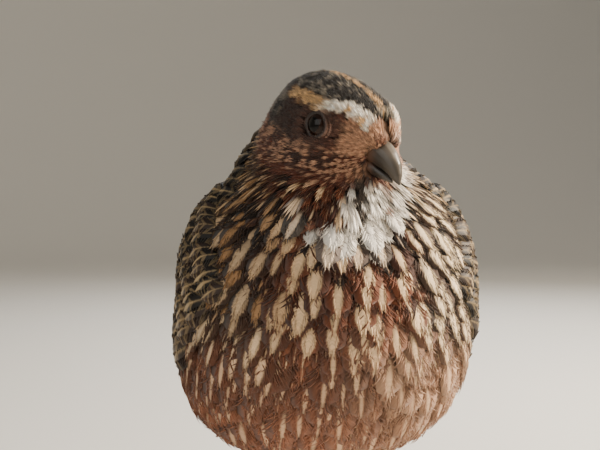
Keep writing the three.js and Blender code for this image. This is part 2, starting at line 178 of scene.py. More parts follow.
eyeMiddle = (middleOf("eye_left") + middleOf("eye_right")) / 2
headMiddle = eyeMiddle - headTurn @ np.array((0, stance["eyeInHead"][1], stance["eyeInHead"][2]))


def inHead(points):
    return (points - headMiddle) @ headTurn


def fromHead(points):
    return np.asarray(points, float) @ headTurn.T + headMiddle


# meshes from arrays: feathers by the thousand, and forms whose points are moved all at once

def meshOf(name, points, triangles, uvs=None, colours=None):
    mesh = bpy.data.meshes.new(name)
    mesh.vertices.add(len(points))
    mesh.vertices.foreach_set("co", (np.asarray(points, np.float32) * mm).ravel())
    mesh.loops.add(triangles.size)
    mesh.loops.foreach_set("vertex_index", triangles.astype(np.int32).ravel())
    mesh.polygons.add(len(triangles))
    mesh.polygons.foreach_set("loop_start", np.arange(0, triangles.size, 3, dtype=np.int32))
    mesh.update(calc_edges=True)
    mesh.polygons.foreach_set("use_smooth", np.ones(len(triangles), bool))
    for layer, spots in (uvs or {}).items():
        made = mesh.uv_layers.new(name=layer)
        made.data.foreach_set("uv", spots[triangles.ravel()].astype(np.float32).ravel())
    for layer, tones in (colours or {}).items():
        made = mesh.attributes.new(layer, "FLOAT_COLOR", "POINT")
        if tones.shape[1] == 3:
            tones = np.hstack([tones, np.ones((len(tones), 1))])
        made.data.foreach_set("color", tones.astype(np.float32).ravel())
    mesh.validate()
    return mesh


def addPiece(name, mesh, material, stoodFor=()):
    piece = bpy.data.objects.new(name, mesh)
    scene.collection.objects.link(piece)
    mesh.materials.clear()
    mesh.materials.append(material)
    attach(piece, "root")
    if stoodFor:
        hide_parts(*stoodFor)
    return piece


def arraysOf(mesh):
    mesh.calc_loop_triangles()
    wanted = [
        (mesh.vertices, "co", float),
        (mesh.vertices, "normal", float),
        (mesh.loop_triangles, "vertices", np.int32),
    ]
    arrays = []
    for rows, value, kind in wanted:
        array = np.empty(len(rows) * 3, kind)
        rows.foreach_get(value, array)
        arrays.append(array.reshape(-1, 3))
    return arrays[0] / mm, arrays[1], arrays[2]


def finishedMesh(name, source, modifiers):
    work = bpy.data.objects.new(name, source)
    scene.collection.objects.link(work)
    for kind, settings in modifiers:
        modifier = work.modifiers.new(kind, kind)
        for setting, value in settings.items():
            setattr(modifier, setting, value)
    graph = bpy.context.evaluated_depsgraph_get()
    made = bpy.data.meshes.new_from_object(work.evaluated_get(graph))
    bpy.data.objects.remove(work)
    return made


# a soft rounded lump, set and turned on the head
def softLump(shape, centre, radii, turn, scale=1.0):
    made = bmesh.ops.create_uvsphere(shape, u_segments=28, v_segments=18, radius=1)
    spin = Matrix.Rotation(math.radians(turn[2]), 3, "Z")
    spin = np.array(spin @ Matrix.Rotation(math.radians(turn[0]), 3, "X"))
    for vert in made["verts"]:
        spot = spin @ (np.array(vert.co) * np.array(radii)) + np.array(centre)
        vert.co = Vector(fromHead(spot) * scale)


def joinedCopy(names, swell=0.0, lumps=()):
    shape = bmesh.new()
    for name in names:
        shape.from_mesh(nodes[name].data)
    for centre, radii, turn in lumps:
        softLump(shape, centre, radii, turn, mm)
    bmesh.ops.remove_doubles(shape, verts=shape.verts, dist=0.00002)
    bmesh.ops.recalc_face_normals(shape, faces=shape.faces)
    shape.normal_update()
    for vert, normal in [(vert, vert.normal.copy()) for vert in shape.verts]:
        vert.co += normal * swell * mm
    mesh = bpy.data.meshes.new("joined")
    shape.to_mesh(mesh)
    shape.free()
    return mesh


# the form that the coat covers: the flesh nodes without their cuts, smoothed, and the feathered flaps over
# the nostrils. The coat's depth is given for the trunk, the head and the face
nasalFlaps = [((side * 2.0, -15.4, 2.9), (1.9, 3.7, 1.9), (-22, 0, side * 12)) for side in (-1, 1)]
form = {
    "voxel": 0.9, "swell": 0.35, "smoothing": 16,
    "coreDepth": 2.6, "headDepth": 1.1, "faceDepth": 0.45,
    "headReach": (14, 23), "face": (0, -13, -1), "faceReach": (5, 13),
}
fleshNodes = ["torso", "neck", "head", "thigh_right", "thigh_left"]

outerMesh = finishedMesh(
    "outerForm",
    joinedCopy(fleshNodes, form["swell"], nasalFlaps),
    [
        ("REMESH", {"mode": "VOXEL", "voxel_size": form["voxel"] * mm, "use_smooth_shade": True}),
        ("SMOOTH", {"factor": 0.5, "iterations": form["smoothing"]}),
    ],
)
outerPoints, outerNormals, outerTriangles = arraysOf(outerMesh)
outerTree = BVHTree.FromPolygons(outerPoints.tolist(), outerTriangles.tolist())
print("outer form:", len(outerTriangles), "triangles")


def headShare(points):
    return 1 - smoothstep(np.linalg.norm(points - headMiddle, axis=1), *form["headReach"])


def faceShare(points):
    away = np.linalg.norm(points - fromHead(form["face"]), axis=1)
    return 1 - smoothstep(away, *form["faceReach"])


def coatDepth(points):
    depth = lerp(form["coreDepth"], form["headDepth"], headShare(points))
    return lerp(depth, form["faceDepth"], faceShare(points))


# which way the feathers lie: away from the bill on the head, away from the throat on the body
lie = {"billRoot": (0, -16, 1), "throat": (0, -38, 101)}


def lieAt(points, normals):
    fromBill = unit(points - fromHead(lie["billRoot"])) + 0.55 * (headTurn @ np.array((0, 1.0, -0.1)))
    fromThroat = unit(points - np.array(lie["throat"], float)) + 0.35 * trunkBack
    share = headShare(points)[:, None]
    return onPlane(unit(fromBill) * share + unit(fromThroat) * (1 - share), normals)


# an unwrap of the skin's own shape: round the spine, and along it from the crown to the tail
def skinUnwrap(points):
    away = points - trunkMiddle
    back = away @ trunkBack
    rise = away @ trunkUp
    share = headShare(points)
    head = inHead(points)
    trunkRound = np.arctan2(away[:, 0], rise - stance["axisDrop"])
    headRound = np.arctan2(head[:, 0], head[:, 2])
    u = 0.5 + lerp(trunkRound, headRound, share) / (2 * math.pi) * 0.96
    along = lerp(0.30 + 0.66 * (back + 50) / 130, 0.02 + 0.26 * (head[:, 1] + 20) / 40, share)
    return np.column_stack([np.clip(u, 0.01, 0.99), np.clip(along, 0.01, 0.99)])


# the coat: how long the feathers are and how close they grow, by where they are
coat = {
    "headLength": 3.7, "faceLength": 2.0, "neckLength": 5.6, "breastLength": 9, "backLength": 10.5,
    "bellyLength": 11, "spacingShare": 0.215, "headSpacing": 0.8, "faceSpacing": 0.5, "neckSpacing": 1.15,
    "plumeShare": 0.3, "plumeGrowth": 0.5, "plumeRise": 0.6, "plumeCurve": 0.42,
    "eyeClear": 4.8, "underWing": 0.35, "turn": 0.7, "kinds": 4, "trianglesPerPiece": 190000,
    "barbs": 10, "bladeWidth": 0.6, "locks": 6, "tuftWidth": 0.55,
    "wingBack": (-22, 44), "wingRound": (34, 96),
}


# what colours the feathers have
tones = {
    "rufous": "#6c3c26", "deepRufous": "#3a2018", "breastCream": "#dcbc96", "belly": "#96634a",
    "vent": "#cdb08e", "backBrown": "#3b2c21", "backBuff": "#b8966a", "black": "#15100c",
    "crown": "#1d1612", "crownGrey": "#7d7466", "brow": "#c9a272", "browWhite": "#efe3d2",
    "ear": "#33211a", "cheek": "#5a2f20", "cheekPale": "#b88d70", "lores": "#b08568",
    "throatWhite": "#f0e9df", "throatDark": "#4a4038", "sideBrown": "#4a3a30", "sideCream": "#dcc6a6",
    "eyeRing": "#4e342a", "umber": "#2e1d15", "ochre": "#8a6540", "bellyPale": "#c39f82",
}
palette = {name: colourOf(value) for name, value in tones.items()}


def paint(colour, target, mask):
    colour += (palette[target] - colour) * np.clip(mask, 0, 1)[:, None]


def band(value, low, high, soft):
    return smoothstep(value, low - soft, low + soft) * (1 - smoothstep(value, high - soft, high + soft))


# a feather's colours, read by where it shows. Its marks are the streak's width, how strong its bars are,
# how often they come, and a draw of its own, each 0 to 1
def plumage(points, normals, draws):
    count = len(points)
    away = points - trunkMiddle
    back = away @ trunkBack
    rise = away @ trunkUp
    x = points[:, 0]
    z = points[:, 2]
    dorsal = smoothstep(normals @ trunkUp, -0.05, 0.5) * smoothstep(back, -46, -30)
    front = smoothstep(-normals[:, 1], 0.1, 0.5)
    blotch = draws[:, 1]

    margin = np.tile(palette["rufous"], (count, 1))
    streak = np.tile(palette["breastCream"], (count, 1))
    streaked = np.where(draws[:, 0] < coat["plumeShare"], 0.1 + 0.1 * draws[:, 4], 0.0)
    streaked = np.where((draws[:, 0] > 0.8) & (draws[:, 4] < 0.6), 0.05, streaked)
    marks = np.column_stack([streaked, np.zeros(count), draws[:, 4], draws[:, 3]])
    paint(margin, "deepRufous", 0.85 * (draws[:, 2] < 0.4))

    # breast, paler and plainer towards the belly and the vent
    low = smoothstep(70 - z, 0, 22)
    paint(margin, "belly", low * 0.8)
    paint(margin, "deepRufous", 0.55 * band(z, 46, 60, 6) * (draws[:, 0] < 0.45))
    paint(streak, "bellyPale", low * 0.8)
    paint(margin, "vent", smoothstep(back - rise * 0.8, 45, 75))
    marks[:, 0] *= 1 - 0.65 * low
    # painted light: the lower breast and belly made paler towards the bird's left, the side the light falls
    # on
    paintedLight = smoothstep(x, -8, 18) * band(z, 34, 62, 8)
    paint(margin, "bellyPale", paintedLight * (0.35 + 0.4 * draws[:, 3]))

    # sides of the breast and shoulders: grey-brown with cream streaks and black blotches
    side = smoothstep(np.abs(x + 2), 13, 25) * smoothstep(z, 54, 70)
    paint(margin, "sideBrown", side * 0.9)
    paint(margin, "black", side * (blotch < 0.3) * 0.85)
    paint(streak, "sideCream", side)
    # painted shade: the sides of the neck and upper breast made darker umber, with ochre streaks, towards
    # the bird's right, the side away from the light
    shaded = smoothstep(-x, 9, 22) * smoothstep(z, 60, 72)
    paint(margin, "umber", shaded * 0.65)
    paint(streak, "ochre", shaded * (0.55 + 0.4 * (draws[:, 3] < 0.6)))
    marks[:, 0] = lerp(marks[:, 0], 0.17, side * (draws[:, 2] < 0.5))

    # back: dark brown, barred with buff, with long cream shafts
    paint(margin, "backBrown", dorsal)
    paint(margin, "black", dorsal * (blotch < 0.45) * 0.7)
    paint(streak, "backBuff", dorsal)
    marks[:, 1] = np.maximum(marks[:, 1], dorsal * 0.9)
    marks[:, 0] = lerp(marks[:, 0], np.where(draws[:, 2] < 0.35, 0.1, 0.02), dorsal)

    # throat: a white patch and collar with a dark middle line, dark blotches at the sides
    ring = np.hypot(x + 2, z - 104)
    collar = band(ring, 15.5, 20.5, 1.4) * smoothstep(x, -17, -8) * front
    collar *= np.where(draws[:, 2] < lerp(0.45, 0.95, smoothstep(x, -14, -4)), 1, 0.1)
    patch = band(x - 3.2, -4.4, 6.2, 1.4) * band(z, 84, 99, 1.5) * front
    white = np.clip(collar + patch, 0, 1)
    dark = band(np.abs(x - 2.6), -1, 1.3, 0.6) * band(z, 85, 103, 1.5) * front
    paint(margin, "throatWhite", white)
    paint(streak, "throatWhite", white)
    paint(margin, "throatDark", dark * (blotch < 0.88))
    paint(streak, "throatDark", dark * (blotch < 0.7))
    nearNeck = band(ring, 20.5, 27, 1.5) * (z > 78) * front + band(ring, 12, 26, 2) * (x < -12) * front
    paint(margin, "black", np.clip(nearNeck, 0, 1) * (blotch < 0.4) * 0.8)

    # head: bands by the angle round it, from the crown's middle line down to the throat
    head = inHead(points)
    hx = np.abs(head[:, 0])
    hy = head[:, 1]
    hz = head[:, 2]
    share = headShare(points)
    angle = np.degrees(np.arctan2(hx, hz))
    rust = smoothstep(share, 0.0, 0.3) * smoothstep(-normals[:, 1] - normals[:, 0] * 0.6, -0.2, 0.3)
    rust = rust * (1 - white) * (1 - dark)
    paint(margin, "cheek", rust)
    paint(streak, "cheekPale", rust)
    headMargin = np.tile(palette["cheek"], (count, 1))
    paint(headMargin, "ear", 0.8 * (draws[:, 0] < 0.3))
    paint(headMargin, "cheekPale", 0.6 * (draws[:, 0] > 0.86))
    paint(headMargin, "ear", band(angle, 62, 101, 4) * smoothstep(hy, -9, -5) * 0.95)
    eyeReach = np.hypot(hy - stance["eyeInHead"][1], hz - stance["eyeInHead"][2])
    around = (1 - smoothstep(eyeReach, 5, 7.5)) * (hx > 5)
    paint(headMargin, "eyeRing", around * 0.8)
    below = band(angle, 96, 106, 2.5) * band(hy, -7, 4, 1.5) * (draws[:, 0] > 0.4)
    paint(headMargin, "cheekPale", below * 0.35)
    gapeLine = band(angle, 105, 111, 2) * band(hy, -11, 3, 2)
    paint(headMargin, "ear", gapeLine * 0.85)
    forward = smoothstep(-hy, 3, 13)
    browMiddle = lerp(54, 33, forward)
    browHalf = lerp(6.5, 11, forward)
    crown = 1 - smoothstep(angle, browMiddle - browHalf - 2, browMiddle - browHalf + 1)
    crown = np.maximum(crown, smoothstep(hy, 7, 12) * (1 - smoothstep(angle, 80, 110)))
    paint(headMargin, "crown", crown)
    paint(headMargin, "crownGrey", crown * (draws[:, 0] > 0.66) * 0.85)
    brow = band(angle, browMiddle - browHalf, browMiddle + browHalf, 1.6) * (1 - smoothstep(hy, 7, 11))
    paint(headMargin, "brow", brow)
    paint(headMargin, "browWhite", brow * smoothstep(-hy, 2, 6) * (draws[:, 0] > 0.15))
    median = (1 - smoothstep(angle, 2.5, 6)) * (hz > 6) * (draws[:, 0] > 0.3)
    paint(headMargin, "brow", median)
    lores = smoothstep(-hy, 9.5, 12.5) * band(angle, 46, 100, 4)
    lores = np.maximum(lores, smoothstep(-hy, 14.4, 15.4) * (hz > 0))
    paint(headMargin, "lores", lores)
    chin = smoothstep(angle, 120, 135) * smoothstep(-hy, 4, 9)
    paint(headMargin, "cheekPale", chin * 0.5)
    amount = smoothstep(share, 0.3, 0.7)[:, None]
    margin = lerp(margin, headMargin, amount)
    fine = smoothstep(angle, 92, 104) * (1 - smoothstep(angle, 150, 165)) * (draws[:, 0] > 0.45)
    headStreak = np.minimum(headMargin * 1.5, 1)
    paint(headStreak, "cheekPale", fine)
    streak = lerp(streak, headStreak, amount)
    marks[:, 0] = lerp(marks[:, 0], 0.05 + 0.11 * fine, amount[:, 0])
    marks[:, 1] *= 1 - amount[:, 0]

    shade = (0.84 + 0.32 * draws[:, 3])[:, None]
    return margin * shade, streak * (0.9 + 0.2 * draws[:, 4])[:, None], marks


# one feather of each kind, drawn once and then laid many times. A spot on it is (along, across, above), in
# shares of its length.

def closedStrip(rings, tip):
    points = [spot for ring in rings for spot in ring] + [tip]
    sides = len(rings[0])
    last = (len(rings) - 1) * sides
    triangles = []
    for k in range(sides):
        ahead = (k + 1) % sides
        for base in range(0, last, sides):
            a, b = base + k, base + ahead
            triangles += [(a, b, b + sides), (a, b + sides, a + sides)]
        triangles.append((last + k, last + ahead, last + sides))
    triangles += [(0, k + 1, k) for k in range(1, sides - 1)]
    return np.array(points), np.array(triangles)


# a flat blade: rows of (along, across, half width, thickness, lift), the last one its tip
def bladeStrip(rows):
    rings = []
    for along, across, half, thick, lift in rows[:-1]:
        rings.append([
            (along, across - half, lift),
            (along, across, lift + thick),
            (along, across + half, lift),
            (along, across, lift - thick * 0.6),
        ])
    along, across, *_, lift = rows[-1]
    return closedStrip(rings, (along, across, lift))


# a lock of barbs, three-sided, from start to end and bowed sideways
def lockStrip(start, end, bend, half, thick, rows=3):
    start, end = np.array(start, float), np.array(end, float)
    ahead = end[:2] - start[:2]
    aside = np.array((-ahead[1], ahead[0], 0))
    aside /= max(np.linalg.norm(aside), 1e-6)
    rings = []
    for row in range(rows):
        share = row / rows
        middle = lerp(start, end, share) + aside * bend * math.sin(share * math.pi)
        wide = aside * half * (0.75 + 0.6 * share - 0.9 * share * share)
        rings.append([middle + wide, middle - wide, middle + (0, 0, thick)])
    return closedStrip(rings, end)


def joinStrips(strips):
    points, triangles, base = [], [], 0
    for spots, faces in strips:
        points.append(spots)
        triangles.append(faces + base)
        base += len(spots)
    return np.vstack(points), np.vstack(triangles)


def contourFeather(barbs, width, draw):
    body = [
        (0.0, 0, 0.03, 0.010, 0.0),
        (0.3, 0, width * 0.30, 0.012, 0.0),
        (0.55, 0, width * 0.42, 0.012, 0.0),
        (0.78, 0, width * 0.36, 0.010, 0.0),
        (0.93, 0, 0, 0, 0.0),
    ]
    strips = [bladeStrip(body)]
    for side in (-1, 1):
        for k in range(barbs):
            share = (k + draw.uniform(0.2, 0.8)) / barbs
            start = 0.22 + 0.64 * share
            reach = lerp(0.30, 0.22, share) * draw.uniform(0.75, 1.3)
            angle = math.radians(lerp(46, 10, share ** 1.3) + draw.uniform(-8, 8))
            inner = width * 0.22 * (1 - 0.75 * share)
            tip = (
                start + reach * math.cos(angle),
                side * (inner + reach * math.sin(angle)),
                draw.uniform(-0.03, 0.035),
            )
            strips.append(lockStrip((start, side * inner, 0.012), tip, side * -0.02, 0.02, 0.010, rows=2))
    return joinStrips(strips)


def tuftFeather(locks, width, draw):
    strips = []
    for k in range(locks):
        share = (k + 0.5) / locks * 2 - 1
        reach = 1 - 0.28 * abs(share) + draw.uniform(-0.08, 0.08)
        tip = (reach, share * width * 0.5, draw.uniform(-0.03, 0.08))
        root = (0, share * width * 0.15, 0)
        strips.append(lockStrip(root, tip, share * -0.03, width / locks * 0.6, 0.025))
    return joinStrips(strips)


# spread over the outer form, never closer than their own spacing
def scatter(points, normals, triangles, spacing, seed, tries):
    draw = np.random.default_rng(seed)
    corners = points[triangles]
    sides = corners[:, 1:] - corners[:, :1]
    areas = np.linalg.norm(np.cross(sides[:, 0], sides[:, 1]), axis=1) / 2
    want = spacing(corners.mean(axis=1))
    weight = areas / want ** 2
    picks = draw.choice(len(triangles), size=int(weight.sum() * tries), p=weight / weight.sum())
    a = draw.random((len(picks), 2))
    a = np.where(a.sum(axis=1, keepdims=True) > 1, 1 - a, a)
    shares = np.column_stack([1 - a.sum(axis=1), a])
    spots = np.einsum("ij,ijk->ik", shares, corners[picks])
    facing = unit(np.einsum("ij,ijk->ik", shares, normals[triangles[picks]]))
    gaps = want[picks]
    cell = float(gaps.max())
    cells = np.floor(spots / cell).astype(int)
    steps = list(product((-1, 0, 1), repeat=3))
    taken, kept = {}, []
    for i, (cx, cy, cz) in enumerate(cells.tolist()):
        x, y, z = spots[i].tolist()
        near = gaps[i] ** 2
        around = (taken.get((cx + dx, cy + dy, cz + dz), ()) for dx, dy, dz in steps)
        if all((x - a) ** 2 + (y - b) ** 2 + (z - c) ** 2 >= near for cell in around for a, b, c in cell):
            taken.setdefault((cx, cy, cz), []).append((x, y, z))
            kept.append(i)
    return spots[kept], facing[kept]


# each feather's middle line, followed over the form so that it wraps round it
def layLines(roots, normals, heading, lengths, low, high, curve, tree, flow, steps=4):
    count = len(roots)
    spine = np.empty((count, steps + 1, 3))
    facing = np.empty((count, steps + 1, 3))
    spot, face, ahead = roots.copy(), normals.copy(), heading.copy()
    for step in range(steps + 1):
        share = step / steps
        rise = lerp(-low, high, share ** curve)
        spine[:, step] = spot + face * rise[:, None]
        facing[:, step] = face
        if step == steps:
            break
        ahead = onPlane(ahead * 0.55 + flow(spot, face) * 0.45, face)
        reached = spot + ahead * (lengths / steps)[:, None]
        for i in range(count):
            near, normal = tree.find_nearest(reached[i])[:2]
            spot[i] = near
            face[i] = lerp(face[i], np.array(normal), 0.6)
        face = unit(face)
    return spine, facing


def layFeathers(template, spine, facing, lengths, roots):
    points, triangles = template
    count, steps = len(spine), spine.shape[1] - 1
    along = np.clip(points[:, 0], 0, 1.2) * steps
    low = np.clip(np.floor(along).astype(int), 0, steps - 1)
    share = (along - low)[None, :, None]
    here = spine[:, low] * (1 - share) + spine[:, low + 1] * share
    face = unit(facing[:, low] * (1 - share) + facing[:, low + 1] * share)
    ahead = unit(spine[:, low + 1] - spine[:, low])
    across = unit(np.cross(face, ahead))
    up = np.cross(ahead, across)
    size = lengths[:, None, None]
    placed = here + across * points[None, :, 1, None] * size + up * points[None, :, 2, None] * size
    faces = triangles[None] + (np.arange(count) * len(points))[:, None, None]
    bake = skinUnwrap(roots)[:, None, :] + (points[None, :, [1, 0]] - (0, 0.5)) * 0.003
    own = np.broadcast_to(points[None, :, [1, 0]], (count, len(points), 2))
    return placed.reshape(-1, 3), faces.reshape(-1, 3), bake.reshape(-1, 2), own.reshape(-1, 2)


print("ready to lay feathers")


# materials

def newMaterial(name, roughness):
    material = bpy.data.materials.new(name)
    material.use_nodes = True
    tree = material.node_tree
    shader = tree.nodes["Principled BSDF"]
    shader.inputs["Roughness"].default_value = roughness
    return material, tree, shader


# keratin feather: matt, streaked along the shaft and barred across, with barbs that slant from the shaft
def featherMaterial(name, roughness=0.72, barbScale=60.0):
    material, tree, shader = newMaterial(name, roughness)
    shader.inputs["Sheen Weight"].default_value = 0.08
    shader.inputs["Sheen Roughness"].default_value = 0.4
    shader.inputs["Specular IOR Level"].default_value = 0.3
    marks = addNode(tree, "ShaderNodeAttribute", {"attribute_name": "marks"})
    ownDraw = marks.outputs["Alpha"]
    shares = addNode(tree, "ShaderNodeSeparateColor", None, {"Color": marks.outputs["Color"]})
    streakWidth, barStrength, barsOften = shares.outputs
    own = addNode(tree, "ShaderNodeUVMap", {"uv_map": "Feather"})
    place = addNode(tree, "ShaderNodeSeparateXYZ", None, {"Vector": own.outputs[0]})
    across = maths(tree, "ABSOLUTE", place.outputs[0])
    along = place.outputs[1]
    # barbs: fine lines that run out and forward from the shaft
    slant = maths(tree, "MULTIPLY_ADD", across, -0.8, along)
    lines = addNode(tree, "ShaderNodeCombineXYZ", None, {"X": slant, "Y": ownDraw})
    barbs = noiseOf(tree, lines.outputs[0], barbScale, 2.0, 0.6)
    # the pale streak, ragged at its edge
    ragged = maths(tree, "MULTIPLY_ADD", barbs, 0.12, -0.06)
    reach = maths(tree, "ADD", across, ragged)
    grown = remap(tree, along, 0.2, 0.6, 0.25, 0.75)
    ending = remap(tree, along, 0.72, 1.02, 1.0, 0.1)
    width = maths(tree, "MULTIPLY", streakWidth, maths(tree, "MULTIPLY", grown, ending))
    soft = remap(tree, maths(tree, "SUBTRACT", width, reach), -0.02, 0.02, interpolation="SMOOTHSTEP")
    # bars across
    phase = maths(tree, "MULTIPLY_ADD", ownDraw, 9.0, ragged)
    often = remap(tree, barsOften, 0.0, 1.0, 19.0, 34.0)
    wave = maths(tree, "SINE", maths(tree, "MULTIPLY_ADD", slant, often, phase))
    barred = maths(tree, "MULTIPLY", remap(tree, wave, 0.35, 0.75), barStrength)
    pale = maths(tree, "MAXIMUM", soft, maths(tree, "MULTIPLY", barred, 0.55))
    tones = {"Factor": pale, 6: paintedColour(tree, "margin"), 7: paintedColour(tree, "streak")}
    tone = addNode(tree, "ShaderNodeMix", {"data_type": "RGBA"}, tones)
    # the hidden base is darker, partly the down's own grey and partly painted shade where the feathers
    # above cover it, and each barb a little lighter or darker
    base = remap(tree, along, 0.05, 0.55, 0.45, 1.0)
    grain = remap(tree, barbs, 0.3, 0.7, 0.72, 1.22)
    dress(tree, shader, tone.outputs[2], maths(tree, "MULTIPLY", base, grain), barbs, 0.35, 0.0001)
    return material


# skin and down under the coat, in the same colours
def skinMaterial():
    material, tree, shader = newMaterial("downAndSkin", 0.85)
    fluff = noiseOf(tree, objectSpot(tree), 900.0, 4.0)
    shade = remap(tree, fluff, 0.3, 0.7, 0.3, 0.7)
    dress(tree, shader, paintedColour(tree, "margin"), shade, fluff, 0.4, 0.0003)
    return material


coatFeather = featherMaterial("softContourFeather")


# the skin: the outer form drawn in by the coat's depth
def makeSkin():
    points = outerPoints - outerNormals * coatDepth(outerPoints)[:, None]
    margin = plumage(outerPoints, outerNormals, np.full((len(points), 5), 0.5))[0]
    mesh = meshOf(
        "skin", points, outerTriangles,
        uvs={"OFBake": skinUnwrap(outerPoints)},
        colours={"margin": margin},
    )
    return addPiece("skin", mesh, skinMaterial(), fleshNodes)


makeSkin()
print("skin")


def featherLength(points):
    away = points - trunkMiddle
    back = away @ trunkBack
    rise = away @ trunkUp
    body = lerp(coat["breastLength"], coat["backLength"], smoothstep(rise + 0.3 * back, -10, 30))
    body = lerp(body, coat["bellyLength"], smoothstep(62 - points[:, 2], 0, 25))
    near = 1 - smoothstep(np.linalg.norm(points - headMiddle, axis=1), 17, 34)
    body = lerp(body, coat["neckLength"], near)
    head = lerp(coat["headLength"], coat["faceLength"], faceShare(points))
    return lerp(body, head, headShare(points))


# the neck wears the head's fine tufts, longer
def neckShare(points):
    return 1 - smoothstep(np.linalg.norm(points - headMiddle, axis=1), 19, 27)


def featherSpacing(points):
    share = headShare(points)
    body = lerp(featherLength(points) * coat["spacingShare"], coat["neckSpacing"], neckShare(points))
    head = lerp(coat["headSpacing"], coat["faceSpacing"], faceShare(points))
    return lerp(body, head, smoothstep(share, 0.15, 0.8))


def clearOfEyes(points):
    clear = np.ones(len(points), bool)
    for side in ("right", "left"):
        clear &= np.linalg.norm(points - middleOf("eye_" + side), axis=1) > coat["eyeClear"]
    return clear


def clearOfBill(points):
    head = inHead(points)
    between = (np.abs(head[:, 0]) < 3.4) & (head[:, 2] > -4.9)
    onSides = between & (head[:, 1] < -14.5) & (head[:, 2] < 1.4)
    onRidge = between & (head[:, 1] < -15.5) & (np.abs(head[:, 0]) < 0.9)
    ahead = (head[:, 1] < -18.6) & (np.abs(head[:, 0]) < 6) & (head[:, 2] > -4.9)
    return ~(onSides | onRidge | ahead)


def wingIsHere(points):
    away = points - trunkMiddle
    back = away @ trunkBack
    turn = np.degrees(np.abs(np.arctan2(away[:, 0], away @ trunkUp - stance["axisDrop"])))
    firstBack, lastBack = coat["wingBack"]
    firstTurn, lastTurn = coat["wingRound"]
    return (back > firstBack) & (back < lastBack) & (turn > firstTurn) & (turn < lastTurn)


def makeCoat():
    roots, normals = scatter(outerPoints, outerNormals, outerTriangles, featherSpacing, 7, 9)
    fine = clearOfEyes(roots) & clearOfBill(roots)
    fine &= ~wingIsHere(roots) | (np.random.default_rng(3).random(len(roots)) < coat["underWing"])
    roots, normals = roots[fine], normals[fine]
    share = headShare(roots)
    draws = np.random.default_rng(11).random((len(roots), 8))
    lengths = featherLength(roots) * (0.85 + 0.3 * draws[:, 5])
    # the streaked plumes of the body are longer and lie on top
    plume = (draws[:, 0] < coat["plumeShare"]) * (1 - smoothstep(share, 0, 0.3))
    lengths *= 1 + coat["plumeGrowth"] * plume
    heading = lieAt(roots, normals)
    turn = (draws[:, 6] - 0.5) * coat["turn"]
    heading = unit(heading * np.cos(turn)[:, None] + np.cross(normals, heading) * np.sin(turn)[:, None])
    low = coatDepth(roots) * 0.9
    high = lerp(0.55, 0.3, share) * (0.4 + 1.2 * draws[:, 7]) + coat["plumeRise"] * plume
    order = np.random.default_rng(5)
    contour = [contourFeather(coat["barbs"], coat["bladeWidth"], order) for _ in range(coat["kinds"])]
    tufts = [tuftFeather(coat["locks"], coat["tuftWidth"], order) for _ in range(coat["kinds"])]
    kinds = np.where(neckShare(roots) + 0.4 * draws[:, 0] > 0.6, 1, 0)
    variant = order.integers(0, coat["kinds"], len(roots))
    print("feathers:", (kinds == 0).sum(), "contour,", (kinds == 1).sum(), "small")
    curve = lerp(0.8, coat["plumeCurve"], plume)
    spine, facing = layLines(roots, normals, heading, lengths, low, high, curve, outerTree, lieAt)
    looks = dict(zip(("margin", "streak", "marks"), plumage(spine[:, 3], facing[:, 3], draws)))
    for kind, name, templates in ((0, "body_coat", contour), (1, "head_coat", tufts)):
        perPiece = coat["trianglesPerPiece"] // max(len(faces) for _, faces in templates)
        chosen = np.flatnonzero(kinds == kind)
        chosen = chosen[np.argsort(roots[chosen, 2])]
        for part, start in enumerate(range(0, len(chosen), perPiece)):
            members = chosen[start:start + perPiece]
            laid, which, base = [], [], 0
            for v, template in enumerate(templates):
                these = members[variant[members] == v]
                made = layFeathers(template, spine[these], facing[these], lengths[these], roots[these])
                laid.append((made[0], made[1] + base, made[2], made[3]))
                which.append(np.repeat(these, len(template[0])))
                base += len(made[0])
            points, faces, bake, own = [np.vstack(rows) for rows in zip(*laid)]
            which = np.concatenate(which)
            mesh = meshOf(
                name, points, faces,
                uvs={"OFBake": bake, "Feather": own},
                colours={layer: tonesOf[which] for layer, tonesOf in looks.items()},
            )
            addPiece(f"{name}_{part + 1}", mesh, coatFeather)


makeCoat()
print("coat")


